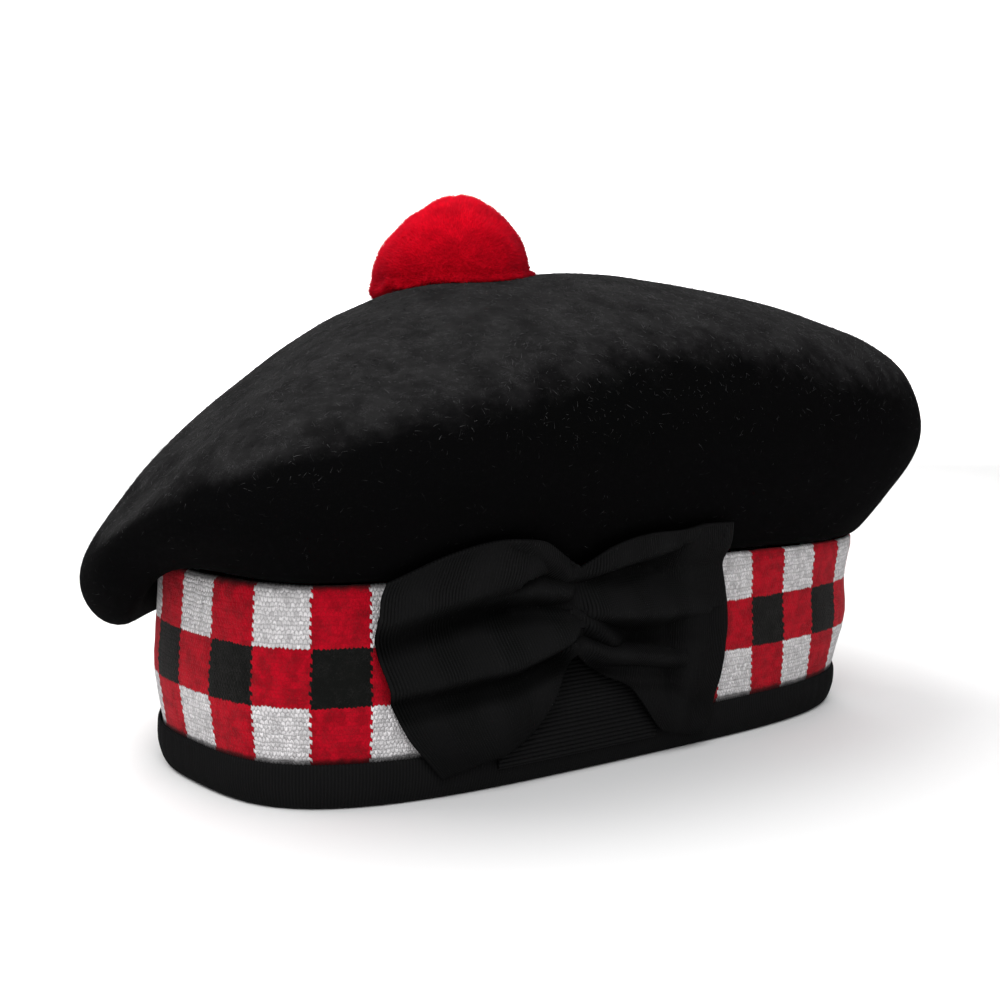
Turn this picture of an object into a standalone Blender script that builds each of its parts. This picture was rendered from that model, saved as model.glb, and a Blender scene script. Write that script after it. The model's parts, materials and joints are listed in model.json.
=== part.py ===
"""Balmoral bonnet.

A round felted wool crown overhangs a diced knitted band. A ribbed ribbon binds
the band's lower edge, a ribbon bow is gathered on one side over a short upright
ribbon, and a wool toorie sits on top.

Lengths are in metres and +Z is up. The bonnet rests on z = 0 with its front at
-X and its bow on the -Y side. Places round the band are measured along the head
line, from the middle of the bow side towards the back, as a share of its length.
"""
import math

import bmesh
import bpy
from mathutils import Vector
from mathutils.bvhtree import BVHTree

# Driving sizes of the head line, the closed line that the band stands on
HEAD_HALF_LENGTH = 0.110
HEAD_HALF_BOW_SIDE = 0.054
HEAD_HALF_FAR_SIDE = 0.065
BOW_SIDE_SQUARENESS = 4.1
FAR_SIDE_SQUARENESS = 2.0
COLUMNS = 64

# Clearances between pieces
SEAM_GAP = 0.0003
BOW_SEAT_GAP = 0.0005
TOORIE_SEAT_GAP = 0.0004

# Reaches used to find a direction along the head line and a seat on finished pieces
NORMAL_REACH = 0.004
SEAT_LOOK_FROM = 0.060
SEAT_SPREAD = 0.0025
SEAT_LOOK_DOWN_FROM = 0.300

# Knitted band
BAND_HEIGHT = 0.0543
BAND_FRONT_RISE = 0.0012
BAND_WALL = 0.003
BAND_BULGE = 0.005

# Ribbed ribbon that wraps the band's lower edge
BINDING_HEIGHT = 0.0119
BINDING_INNER_HEIGHT = 0.0105
BINDING_WALL = 0.001
BINDING_ROLL = 0.0022

# Felted crown
CROWN_RISE = 0.0815
CROWN_OVERHANG = 0.025
CROWN_WALL = 0.0026
CROWN_CENTRE_BACK = -0.008
CROWN_CENTRE_FAR = 0.008

# Ribbon bow
BOW_FROM_MIDDLE = -0.027
BOW_KNOT_HEIGHT = 0.042
BOW_FRONT_REACH = 0.057
BOW_BACK_REACH = 0.0585
BOW_HALF_HEIGHT = 0.036
BOW_WALL = 0.0012
BOW_FOLD_HEIGHT = 0.0065

# Short upright ribbon under the bow
TAIL_WIDTH = 0.054
TAIL_SHIFT = 0.003
TAIL_FOOT = 0.006
TAIL_HEAD = 0.040
TAIL_WALL = 0.001

# Wool toorie
TOORIE_RADIUS = 0.0238
TOORIE_RISE = 0.0235
TOORIE_DEPTH = 0.020
TOORIE_WAIST_HEIGHT = 0.0036
TOORIE_BACK = -0.015
TOORIE_FAR = 0.0125
TOORIE_SQUARENESS = 1.6
TOORIE_LEAN = 0.003
LOCKS = 70
LOCK_RELIEF = 0.0016

# Shape of the band. Heights are shares of its height, and the three bulges are
# shares of BAND_BULGE at the front, along the sides and at the back.
BAND_SECTIONS = (
    # height, front, side, back
    (0.03, -0.30, 0.26, -0.60),
    (0.22, -0.14, 0.52, -0.40),
    (0.46, 0.44, 0.44, 0.80),
    (0.60, 0.32, 0.36, 0.88),
    (0.73, 0.18, 0.26, 0.62),
    (0.87, 0.10, 0.22, 0.98),
    (1.00, 0.04, 0.20, 1.30),
)

# Shape of the crown, section by section round the head line. The overhang is a
# share of CROWN_OVERHANG, the underside's reach a share of the way out to the rim,
# the shoulder and the brow lie a share of the way in towards the centre, and the
# heights above the band are shares of CROWN_RISE.
CROWN_SECTIONS = (
    # round, overhang, under reach, under, rim, shoulder, in, brow, in
    (0.000, 0.84, 0.50, 0.15, 0.34, 0.56, 0.03, 0.74, 0.17),
    (0.100, 0.93, 0.52, 0.16, 0.36, 0.61, 0.04, 0.77, 0.20),
    (0.180, 1.00, 0.54, 0.17, 0.38, 0.66, 0.06, 0.80, 0.25),
    (0.250, 0.98, 0.54, 0.16, 0.37, 0.65, 0.06, 0.80, 0.25),
    (0.360, 0.90, 0.50, 0.12, 0.32, 0.57, 0.06, 0.78, 0.25),
    (0.500, 0.86, 0.45, 0.00, 0.16, 0.34, 0.06, 0.66, 0.25),
    (0.610, 0.89, 0.42, -0.24, -0.12, 0.10, 0.06, 0.42, 0.25),
    (0.680, 0.86, 0.42, -0.28, -0.15, 0.10, 0.06, 0.375, 0.25),
    (0.720, 0.84, 0.44, -0.22, -0.10, 0.13, 0.06, 0.385, 0.25),
    (0.760, 0.81, 0.48, 0.00, 0.09, 0.22, 0.06, 0.435, 0.25),
    (0.810, 0.78, 0.50, 0.10, 0.20, 0.37, 0.03, 0.50, 0.16),
    (0.890, 0.80, 0.50, 0.15, 0.31, 0.49, 0.03, 0.63, 0.17),
)
# The band's inner face follows every second section
BAND_INNER_SECTIONS = BAND_SECTIONS[::2]
SHOULDER_REACH = 0.95
CURVE_FULLNESS = 0.35
# The upper crown: how far in towards the centre, and how far up from the brow
CROWN_TOP = (
    # inward, climb
    (0.55, 0.62),
    (0.80, 0.93),
    (1.00, 1.00),
)
# Rows of the crown between its lip, mouth, underside, rim, shoulder, brow and top
CROWN_ROWS = (0, 1, 1.33, 1.67, 2, 2.5, 3, 3.33, 3.67, 4, 4.5, 5, 5.5, 6, 6.5, 7, 7.5, 8)

# Soft dents of the crown's top. Places and reach are shares of HEAD_HALF_LENGTH
# from the crown's centre, and depths are shares of CROWN_RISE; a swell is negative.
CROWN_DENTS = (
    # along, across, depth, reach
    (-0.06, 0.04, 0.085, 0.20),
    (-0.36, -0.28, 0.020, 0.20),
    (-0.44, 0.10, 0.016, 0.18),
    (-0.80, 0.10, -0.022, 0.13),
    (0.52, -0.10, 0.018, 0.16),
    (0.82, -0.26, -0.014, 0.18),
    (-0.70, 0.02, -0.006, 0.20),
)

# Outline of the bow. Reach is a share of the front or back reach, and the two
# edges are shares of BOW_HALF_HEIGHT below and above the gather.
BOW_FRONT_EDGES = (
    # reach, lower, upper
    (0.00, -0.25, 0.38),
    (0.14, -0.42, 0.48),
    (0.32, -0.70, 0.62),
    (0.55, -0.86, 0.65),
    (0.78, -0.94, 0.56),
    (1.00, -1.00, 0.39),
)
BOW_BACK_EDGES = (
    (0.00, -0.25, 0.38),
    (0.16, -0.42, 0.52),
    (0.40, -0.58, 0.60),
    (0.62, -0.92, 0.61),
    (0.82, -1.00, 0.64),
    (1.00, -1.03, 0.64),
)
# How far each end of the bow reaches, from its lower to its upper corner
BOW_FRONT_END = (0.70, 0.87, 0.96, 1.00, 0.97)
BOW_BACK_END = (0.81, 0.94, 0.98, 0.93, 0.80)
# Folds of the bow as ridges from near the gather to the wing. Places are shares
# of the wing's reach and of BOW_HALF_HEIGHT from the gather, the front wing is
# negative, and the two widths are shares of BOW_HALF_HEIGHT above and below.
BOW_FOLDS = (
    # start, start up, end, end up, height, width above, width below
    (-0.06, 0.16, -0.46, 0.22, 0.80, 0.16, 0.08),
    (-0.04, -0.05, -0.66, -0.26, 1.00, 0.22, 0.09),
    (-0.66, -0.26, -0.92, -0.16, 0.70, 0.30, 0.12),
    (-0.45, 0.44, -0.90, 0.22, 0.65, 0.26, 0.12),
    (-0.10, 0.34, -0.42, 0.66, 0.60, 0.10, 0.10),
    (-0.20, -0.46, -0.74, -0.62, 0.50, 0.20, 0.22),
    (-0.04, 0.42, 0.12, 0.58, 0.50, 0.09, 0.09),
    (0.02, 0.30, 0.50, 0.50, 0.85, 0.16, 0.08),
    (0.02, 0.14, 0.80, 0.17, 0.95, 0.10, 0.10),
    (0.10, 0.00, 0.76, -0.04, 0.90, 0.09, 0.09),
    (0.04, 0.00, 0.18, -0.17, 0.90, 0.10, 0.08),
    (-0.02, -0.18, 0.66, -0.43, 0.65, 0.09, 0.08),
    (0.78, 0.40, 0.80, -0.60, 0.55, 0.26, 0.22),
    (0.36, -0.58, 0.66, -0.84, 0.35, 0.18, 0.18),
)
# Height that is left to the folds where they are stitched down at the gather
BOW_GATHER_LIFT = 0.45
BOW_GATHER_REACH = 0.07
BOW_FOLD_FADE = 0.40
BOW_CELLS_LONG = 32
BOW_CELLS_HIGH = 20

BLACK_WOOL = (0.012, 0.012, 0.013)
BLACK_RIBBON = (0.009, 0.009, 0.010)
BAND_RED = (0.48, 0.018, 0.035)
TOORIE_RED = (0.68, 0.004, 0.022)


class HeadLine:
    """The closed line round the head, read by its share of length from the bow side's middle."""

    STEPS = 2880

    def __init__(self):
        turns = [(step / self.STEPS - 0.25) * math.tau for step in range(self.STEPS + 1)]
        self.points = [self.corner(turn) for turn in turns]
        self.lengths = [0.0]
        for before, after in zip(self.points, self.points[1:]):
            self.lengths.append(self.lengths[-1] + (after - before).length)
        self.length = self.lengths[-1]

    @staticmethod
    def corner(turn):
        """Point of the line at a turn round its middle, a superellipse on each side."""
        along = math.cos(turn)
        across = math.sin(turn)
        half, square = HEAD_HALF_FAR_SIDE, FAR_SIDE_SQUARENESS
        if across < 0:
            half, square = HEAD_HALF_BOW_SIDE, BOW_SIDE_SQUARENESS
        x = math.copysign(HEAD_HALF_LENGTH * abs(along) ** (2 / square), along)
        y = math.copysign(half * abs(across) ** (2 / square), across)
        return Vector((x, y, 0))

    def point(self, share):
        """Point at a share of the length, which may be below 0 or above 1."""
        wanted = (share % 1.0) * self.length
        low, high = 0, self.STEPS
        while high - low > 1:
            middle = (low + high) // 2
            if self.lengths[middle] <= wanted:
                low = middle
            else:
                high = middle
        span = self.lengths[high] - self.lengths[low]
        return self.points[low].lerp(self.points[high], (wanted - self.lengths[low]) / span)

    def outward(self, share):
        """Level direction pointing away from the head."""
        reach = NORMAL_REACH / self.length
        along = self.point(share + reach) - self.point(share - reach)
        return Vector((along.y, -along.x, 0)).normalized()

    def place(self, share, out, height):
        """Point at a share of the line, moved outwards and up."""
        return self.point(share) + self.outward(share) * out + Vector((0, 0, height))


HEAD_LINE = HeadLine()


def read_table(rows, where):
    """Row of a table at a place between its rows, on straight lines between them."""
    where = min(max(where, rows[0][0]), rows[-1][0])
    for before, after in zip(rows, rows[1:]):
        if where <= after[0]:
            break
    share = (where - before[0]) / (after[0] - before[0])
    return [a + (b - a) * share for a, b in zip(before[1:], after[1:])]


def read_ring(rows, where):
    """Row of a table that goes once round, on a smooth closed curve through its rows."""
    count = len(rows)
    where %= 1.0
    index = max(i for i in range(count) if rows[i][0] <= where)
    spots = []
    for step in (-1, 0, 1, 2):
        lap, row = divmod(index + step, count)
        spots.append((rows[row][0] + lap, rows[row][1:]))
    span = spots[2][0] - spots[1][0]
    t = (where - spots[1][0]) / span
    values = []
    for column in range(len(rows[0]) - 1):
        a, b, c, d = (spot[1][column] for spot in spots)
        leave = (c - a) / (spots[2][0] - spots[0][0]) * span
        arrive = (d - b) / (spots[3][0] - spots[1][0]) * span
        values.append(
            (2 * t**3 - 3 * t**2 + 1) * b + (t**3 - 2 * t**2 + t) * leave
            + (3 * t**2 - 2 * t**3) * c + (t**3 - t**2) * arrive
        )
    return values


def curve_point(points, where):
    """Point of a smooth curve through some points; whole numbers are the points themselves."""
    index = min(int(where), len(points) - 2)
    t = where - index
    start, end = points[index], points[index + 1]
    before = points[index - 1] if index > 0 else start
    after = points[index + 2] if index + 2 < len(points) else end
    reach = (end - start).length * CURVE_FULLNESS
    leave = start + (end - before).normalized() * reach
    arrive = end - (after - start).normalized() * reach
    return (
        start * (1 - t) ** 3 + leave * (3 * t * (1 - t) ** 2)
        + arrive * (3 * t**2 * (1 - t)) + end * t**3
    )


def wool_or_ribbon(name, colour, roughness):
    """Plain material for one piece."""
    material = bpy.data.materials.new(name)
    material.use_nodes = True
    shader = material.node_tree.nodes["Principled BSDF"]
    shader.inputs["Base Color"].default_value = (*colour, 1)
    shader.inputs["Roughness"].default_value = roughness
    shader.inputs["Metallic"].default_value = 0
    return material


def add_object(name, bm, material):
    """Object from a finished bmesh, shaded smooth apart from its sharp edges."""
    bmesh.ops.recalc_face_normals(bm, faces=bm.faces)
    mesh = bpy.data.meshes.new(name)
    bm.to_mesh(mesh)
    bm.free()
    mesh.materials.append(material)
    mesh.shade_smooth()
    mesh.set_sharp_from_angle(angle=math.radians(50))
    piece = bpy.data.objects.new(name, mesh)
    bpy.context.scene.collection.objects.link(piece)
    return piece


def shaped_grid(cells_round, cells_across, place):
    """Grid whose points are moved to place(round, across), both from 0 to 1, with its seams closed."""
    bm = bmesh.new()
    bmesh.ops.create_grid(bm, x_segments=cells_round, y_segments=cells_across, size=0.5)
    for vert in bm.verts:
        vert.co = place(vert.co.x + 0.5, vert.co.y + 0.5)
    bmesh.ops.remove_doubles(bm, verts=bm.verts, dist=0.00001)
    return bm


def give_thickness(piece, wall, outwards):
    """Wall on a sheet, added on its outer or its inner side."""
    solid = piece.modifiers.new("wall", "SOLIDIFY")
    solid.thickness = wall
    solid.offset = 1 if outwards else -1
    solid.use_even_offset = False
    return piece


def band_top(share):
    """Height of the band's upper edge, a little higher at the front."""
    return BAND_HEIGHT - BAND_FRONT_RISE * HEAD_LINE.point(share).x / HEAD_HALF_LENGTH


def band_out(share, height_share, rows=BAND_SECTIONS):
    """How far the band's outer face stands off the head line."""
    front, side, back = read_table(rows, height_share)
    along = HEAD_LINE.point(share).x / HEAD_HALF_LENGTH
    end = back if along > 0 else front
    return BAND_BULGE * (side + (end - side) * abs(along) ** 3)


def band_face(share, height_share, inwards):
    """Point of the band's outer face, moved inwards."""
    out = band_out(share, height_share) - inwards
    return HEAD_LINE.place(share, out, band_top(share) * height_share)


def closed_ring(name, section, corners, material):
    """Ring round the head whose section is a closed outline of so many corners."""
    def place(round_share, across):
        return section(round_share, round(across * corners) % corners)

    return add_object(name, shaped_grid(COLUMNS, corners, place), material)


def build_band(material):
    """Knitted band: its outer face from bottom to top, then its inner face down again."""
    outline = [(row[0], 0) for row in BAND_SECTIONS]
    outline += [(row[0], BAND_WALL) for row in reversed(BAND_INNER_SECTIONS)]

    def section(share, corner):
        height_share, inwards = outline[corner]
        return band_face(share, height_share, inwards)

    return closed_ring("diced_band", section, len(outline), material)


def build_binding(material):
    """Ribbon folded round the band's lower edge, with a flat underside."""
    foot = BAND_SECTIONS[0][0]

    def section(share, corner):
        top = band_top(share)
        bottom_out = band_out(share, foot)
        lip_out = band_out(share, BINDING_HEIGHT / top)
        inner_out = band_out(share, BINDING_INNER_HEIGHT / top, BAND_INNER_SECTIONS) - BAND_WALL
        outer_wall = SEAM_GAP + BINDING_WALL
        outline = (
            (bottom_out - BAND_WALL / 2 - BINDING_ROLL / 2, 0),
            (bottom_out, 0),
            (bottom_out + outer_wall - BINDING_ROLL / 8, BINDING_ROLL * 0.8),
            ((bottom_out + lip_out) / 2 + outer_wall + BINDING_ROLL / 4, BINDING_HEIGHT * 0.45),
            (lip_out + outer_wall, BINDING_HEIGHT * 0.85),
            (lip_out + SEAM_GAP + BINDING_WALL * 0.7, BINDING_HEIGHT),
            (lip_out + SEAM_GAP, BINDING_HEIGHT),
            (bottom_out + SEAM_GAP, top * foot - SEAM_GAP),
            (bottom_out - BAND_WALL - SEAM_GAP, top * foot - SEAM_GAP),
            (inner_out - SEAM_GAP, BINDING_INNER_HEIGHT),
            (inner_out - SEAM_GAP - BINDING_WALL, BINDING_INNER_HEIGHT),
            (bottom_out - BAND_WALL - outer_wall, BINDING_ROLL),
        )
        out, height = outline[corner]
        return HEAD_LINE.place(share, out, height)

    return closed_ring("binding", section, 12, material)


def dent_at(point):
    """How far the crown's top sinks at a point of its plan."""
    sink = 0.0
    for along, across, depth, reach in CROWN_DENTS:
        away_x = point.x - CROWN_CENTRE_BACK - along * HEAD_HALF_LENGTH
        away_y = point.y - CROWN_CENTRE_FAR - across * HEAD_HALF_LENGTH
        far = (away_x**2 + away_y**2) / (2 * (reach * HEAD_HALF_LENGTH) ** 2)
        sink += depth * CROWN_RISE * math.exp(-far)
    return sink


def crown_section(share):
    """Points of one section of the crown, from its lip on the band up to its centre."""
    overhang, reach, under, rim, shoulder, shoulder_in, brow, brow_in = read_ring(CROWN_SECTIONS, share)
    mouth = band_top(share) + SEAM_GAP
    mouth_out = band_out(share, 1.0)
    rim_out = overhang * CROWN_OVERHANG
    under_out = mouth_out + (rim_out - mouth_out) * reach
    centre = Vector((CROWN_CENTRE_BACK, CROWN_CENTRE_FAR, 0))

    def spot(inward, out, height):
        on_line = HEAD_LINE.place(share, out, 0)
        point = on_line.lerp(centre, inward)
        point.z = height
        return point

    points = [
        spot(0, mouth_out - BAND_WALL, mouth),
        spot(0, mouth_out, mouth),
        spot(0, under_out, mouth + under * CROWN_RISE),
        spot(0, rim_out, mouth + rim * CROWN_RISE),
        spot(shoulder_in, rim_out * SHOULDER_REACH, mouth + shoulder * CROWN_RISE),
        spot(brow_in, rim_out, mouth + brow * CROWN_RISE),
    ]
    level = BAND_HEIGHT + SEAM_GAP
    brow_height = mouth + brow * CROWN_RISE
    for inward, climb in CROWN_TOP:
        height = brow_height + (level + CROWN_RISE - brow_height) * climb
        points.append(spot(inward, rim_out, height))
    return points


def build_crown(material):
    """Felted crown: one wall from the lip on the band, out over the rim and up to the centre."""
    sections = [crown_section(column / COLUMNS) for column in range(COLUMNS)]

    def place(round_share, across):
        section = sections[round(round_share * COLUMNS) % COLUMNS]
        row = round(across * (len(CROWN_ROWS) - 1))
        point = curve_point(section, CROWN_ROWS[row])
        on_top = min(max(CROWN_ROWS[row] - 3.0, 0.0), 1.0)
        point.z -= dent_at(point) * on_top
        return point

    bm = shaped_grid(COLUMNS, len(CROWN_ROWS) - 1, place)
    return give_thickness(add_object("crown", bm, material), CROWN_WALL, outwards=False)


def tree_of(piece):
    """Search tree of a finished piece."""
    return BVHTree.FromObject(piece, bpy.context.evaluated_depsgraph_get())


class Seat:
    """The outer surface of finished pieces, which another piece is laid on."""

    def __init__(self, *pieces):
        self.trees = [tree_of(piece) for piece in pieces]

    def out(self, share, height):
        """How far the pieces stand off the head line at a height or just beside it."""
        reach = 0.0
        outward = HEAD_LINE.outward(share)
        for spread in (-1, -0.5, 0, 0.5, 1):
            start = HEAD_LINE.place(share, SEAT_LOOK_FROM, height + spread * SEAT_SPREAD)
            for tree in self.trees:
                spot, _, _, away = tree.ray_cast(start, -outward, SEAT_LOOK_FROM)
                if spot is not None:
                    reach = max(reach, SEAT_LOOK_FROM - away)
        return reach

    def top(self, x, y):
        """Height of the pieces at a point of the plan."""
        start = Vector((x, y, SEAT_LOOK_DOWN_FROM))
        down = Vector((0, 0, -1))
        heights = [tree.ray_cast(start, down, SEAT_LOOK_DOWN_FROM)[0] for tree in self.trees]
        return max((spot.z for spot in heights if spot is not None), default=0.0)


def build_tail(seat, material):
    """Short upright ribbon on the band under the bow."""
    middle = BOW_FROM_MIDDLE + TAIL_SHIFT

    def place(along, up):
        share = (middle + (along - 0.5) * TAIL_WIDTH) / HEAD_LINE.length
        height = TAIL_FOOT + up * (TAIL_HEAD - TAIL_FOOT)
        return HEAD_LINE.place(share, seat.out(share, height) + BOW_SEAT_GAP, height)

    bm = shaped_grid(8, 6, place)
    return give_thickness(add_object("bow_tail", bm, material), TAIL_WALL, outwards=True)


def fold_lift(reach, up):
    """How far the bow's folds stand up at a place, from 0 to 1."""
    lift = 0.0
    for start, start_up, end, end_up, height, above, below in BOW_FOLDS:
        step, step_up = end - start, end_up - start_up
        length = math.hypot(step, step_up)
        along = ((reach - start) * step + (up - start_up) * step_up) / length**2
        held = min(max(along, 0.0), 1.0)
        off = math.hypot(reach - start - held * step, up - start_up - held * step_up)
        side = (up - start_up) * step - (reach - start) * step_up
        width = above if side * step > 0 else below
        fade = 1 - BOW_FOLD_FADE * held
        lift = max(lift, height * fade * math.exp(-((off / width) ** 2)))
    return lift * (1 - (1 - BOW_GATHER_LIFT) * math.exp(-((reach / BOW_GATHER_REACH) ** 2)))


def build_bow(seat, material):
    """Ribbon bow: one sheet from wing to wing, gathered small in its middle."""
    def place(along, up):
        side = along * 2 - 1
        front = side < 0
        reach = abs(side)
        lower, upper = read_table(BOW_FRONT_EDGES if front else BOW_BACK_EDGES, reach)
        ends = BOW_FRONT_END if front else BOW_BACK_END
        stations = [(i / (len(ends) - 1), value) for i, value in enumerate(ends)]
        end = read_table(stations, up)[0]
        length = BOW_FRONT_REACH if front else BOW_BACK_REACH
        across = math.copysign(reach * end, side)
        high = lower + (upper - lower) * up
        share = (BOW_FROM_MIDDLE + across * length) / HEAD_LINE.length
        height = BOW_KNOT_HEIGHT + high * BOW_HALF_HEIGHT
        out = seat.out(share, height) + BOW_SEAT_GAP + BOW_FOLD_HEIGHT * fold_lift(across, high)
        return HEAD_LINE.place(share, out, height)

    bm = shaped_grid(BOW_CELLS_LONG, BOW_CELLS_HIGH, place)
    return give_thickness(add_object("bow", bm, material), BOW_WALL, outwards=True)


def lock_directions():
    """Even spread of directions, one for each lock of wool."""
    golden = math.pi * (3 - math.sqrt(5))
    directions = []
    for lock in range(LOCKS):
        height = 1 - 2 * (lock + 0.5) / LOCKS
        radius = math.sqrt(1 - height**2)
        directions.append(Vector((radius * math.cos(golden * lock), radius * math.sin(golden * lock), height)))
    return directions


def build_toorie(crown, material):
    """Wool toorie: a rounded cone of locks whose underside lies on the crown."""
    seat = Seat(crown)
    locks = lock_directions()
    level = seat.top(TOORIE_BACK, TOORIE_FAR) + TOORIE_WAIST_HEIGHT
    bm = bmesh.new()
    bmesh.ops.create_icosphere(bm, subdivisions=4, radius=1)
    for vert in bm.verts:
        way = vert.co.normalized()
        square = TOORIE_SQUARENESS if way.z > 0 else 2.0
        flat = math.hypot(way.x, way.y)
        size = (flat**square + abs(way.z) ** square) ** (-1 / square)
        near = max(way.dot(lock) for lock in locks)
        relief = LOCK_RELIEF * (near - 1) * LOCKS / 4
        rise = TOORIE_RISE if way.z > 0 else TOORIE_DEPTH
        x = TOORIE_BACK + way.x * (size * TOORIE_RADIUS + relief) + TOORIE_LEAN * max(way.z, 0)
        y = TOORIE_FAR + way.y * (size * TOORIE_RADIUS + relief)
        height = level + way.z * (size * rise + relief)
        vert.co = (x, y, max(height, seat.top(x, y) + TOORIE_SEAT_GAP))
    return add_object("toorie", bm, material)


def centre_on_origin(pieces):
    """Moves the pieces level so that the middle of their common box stands over the origin."""
    bpy.context.view_layer.update()
    graph = bpy.context.evaluated_depsgraph_get()
    corners = [Vector(corner) for piece in pieces for corner in piece.evaluated_get(graph).bound_box]
    middle_x = (min(corner.x for corner in corners) + max(corner.x for corner in corners)) / 2
    middle_y = (min(corner.y for corner in corners) + max(corner.y for corner in corners)) / 2
    for piece in pieces:
        piece.location = (-middle_x, -middle_y, 0)


def main():
    for old in list(bpy.data.objects):
        bpy.data.objects.remove(old)
    felt = wool_or_ribbon("crown_felt", BLACK_WOOL, 0.95)
    knit = wool_or_ribbon("band_knit", BAND_RED, 0.9)
    grosgrain = wool_or_ribbon("ribbon_grosgrain", BLACK_RIBBON, 0.6)
    wool = wool_or_ribbon("toorie_wool", TOORIE_RED, 0.95)
    band = build_band(knit)
    binding = build_binding(grosgrain)
    crown = build_crown(felt)
    bpy.context.view_layer.update()
    tail = build_tail(Seat(band, binding), grosgrain)
    bpy.context.view_layer.update()
    bow = build_bow(Seat(band, binding, crown, tail), grosgrain)
    toorie = build_toorie(crown, wool)
    centre_on_origin((band, binding, crown, tail, bow, toorie))


main()
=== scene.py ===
"""Balmoral bonnet, dressed.

Felt with a raised nap for the crown, a felted knit in dice for the band, ribbed
ribbon for the binding, the bow and its tail, and clipped wool for the toorie.

Lengths are in metres and +Z is up. The bonnet's front is at -X and its bow on the
-Y side. Places round the band are measured along the head line, from the middle of
the bow side towards the back, as a share of its length.
"""
import json
import math

import bmesh
import bpy
import numpy as np
from bpy.props import FloatProperty, FloatVectorProperty, IntProperty, PointerProperty
from mathutils import Matrix, Vector, noise
from mathutils.bvhtree import BVHTree
from mathutils.kdtree import KDTree

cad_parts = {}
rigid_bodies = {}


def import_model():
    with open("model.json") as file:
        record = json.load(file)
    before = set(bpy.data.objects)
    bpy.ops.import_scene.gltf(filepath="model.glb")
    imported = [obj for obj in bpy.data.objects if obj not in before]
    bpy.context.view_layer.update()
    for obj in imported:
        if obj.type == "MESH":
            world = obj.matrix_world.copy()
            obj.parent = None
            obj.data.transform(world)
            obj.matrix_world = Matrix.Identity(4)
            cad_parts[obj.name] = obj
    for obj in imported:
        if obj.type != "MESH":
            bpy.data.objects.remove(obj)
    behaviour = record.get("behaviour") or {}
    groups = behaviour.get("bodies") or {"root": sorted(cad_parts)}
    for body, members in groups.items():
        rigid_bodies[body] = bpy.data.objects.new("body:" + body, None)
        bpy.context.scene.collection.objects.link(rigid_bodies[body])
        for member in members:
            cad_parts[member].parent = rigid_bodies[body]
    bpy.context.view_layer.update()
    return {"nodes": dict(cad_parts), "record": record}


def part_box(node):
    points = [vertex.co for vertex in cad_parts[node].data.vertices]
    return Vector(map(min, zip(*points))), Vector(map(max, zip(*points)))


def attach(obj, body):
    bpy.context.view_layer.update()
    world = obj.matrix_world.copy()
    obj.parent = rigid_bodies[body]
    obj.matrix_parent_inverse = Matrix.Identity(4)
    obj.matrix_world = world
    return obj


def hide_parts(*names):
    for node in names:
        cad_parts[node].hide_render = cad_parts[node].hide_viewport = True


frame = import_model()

bl_info = {
    "name": "Balmoral bonnet",
    "version": (1, 0, 0),
    "blender": (4, 5, 0),
    "location": "View3D > Sidebar > Bonnet",
    "description": "Dresses a balmoral bonnet in felt, diced knit, ribbed ribbon and wool",
    "category": "Object",
}

BODY = "root"
MERGE_DISTANCE = 0.000005

# The line round the head: a superellipse on the bow side and another on the far side
HEAD_HALF_LENGTH = 0.110
HEAD_HALF_BOW_SIDE = 0.054
HEAD_HALF_FAR_SIDE = 0.065
BOW_SIDE_SQUARENESS = 4.1
FAR_SIDE_SQUARENESS = 2.0
HEAD_CENTRE = Vector(frame["record"]["mounts"][0]["pos_m"]) + Vector((0, HEAD_HALF_BOW_SIDE, 0))

# The bow's outline. Reach is a share of the front or back reach, and the two edges
# are shares of the bow's half height below and above the gather.
BOW_FRONT_EDGES = (
    # reach, lower, upper
    (0.00, -0.25, 0.38),
    (0.14, -0.42, 0.48),
    (0.32, -0.70, 0.62),
    (0.55, -0.86, 0.65),
    (0.78, -0.94, 0.56),
    (1.00, -1.00, 0.39),
)
BOW_BACK_EDGES = (
    (0.00, -0.25, 0.38),
    (0.16, -0.42, 0.52),
    (0.40, -0.58, 0.60),
    (0.62, -0.92, 0.61),
    (0.82, -1.00, 0.64),
    (1.00, -1.03, 0.64),
)
# How far each end of the bow reaches, from its lower to its upper corner
BOW_FRONT_END = ((0.00, 0.70), (0.25, 0.87), (0.50, 0.96), (0.75, 1.00), (1.00, 0.97))
BOW_BACK_END = ((0.00, 0.81), (0.25, 0.94), (0.50, 0.98), (0.75, 0.93), (1.00, 0.80))
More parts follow.
